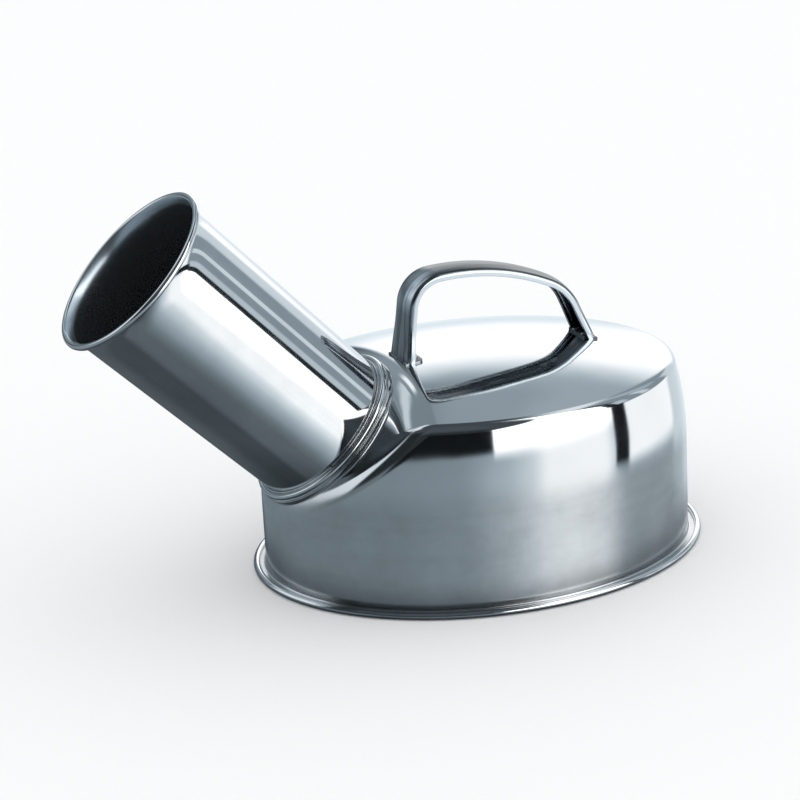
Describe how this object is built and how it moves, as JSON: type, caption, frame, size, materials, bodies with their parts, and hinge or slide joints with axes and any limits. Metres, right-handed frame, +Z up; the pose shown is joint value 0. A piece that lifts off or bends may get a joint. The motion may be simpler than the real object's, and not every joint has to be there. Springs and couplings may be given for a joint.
{
  "type": "urine bottle",
  "caption": "Oval flat-based stainless steel urine bottle with a crowned top, an inclined tubular neck with a rolled mouth, and a strap handle over the top.",
  "frame": {"origin": "middle of the oval base, on the plane it rests on", "axes": "+Z up out of the crowned top, -X along the oval's long axis towards the neck, +Y across"},
  "size_m": [0.2236, 0.1348, 0.1407],
  "materials": {
    "shell_steel": "mirror polished crown and shoulder, fine satin wall",
    "base_steel": "polished rolled edge, mill finish underside",
    "neck_steel": "mirror polished, faint draw lines along the tube",
    "ring_steel": "polished",
    "handle_steel": "polished, drawn along the strap",
    "weld_steel": "ground weld metal"
  },
  "bodies": {
    "root": {"body_shell": "shell_steel", "base_plate": "base_steel", "base_seam_weld": "weld_steel", "neck_tube": "neck_steel", "neck_ring": "ring_steel", "neck_root_weld": "weld_steel", "neck_seam_weld": "weld_steel", "handle": "handle_steel", "handle_foot_welds": "weld_steel"}
  },
  "joints": []
}
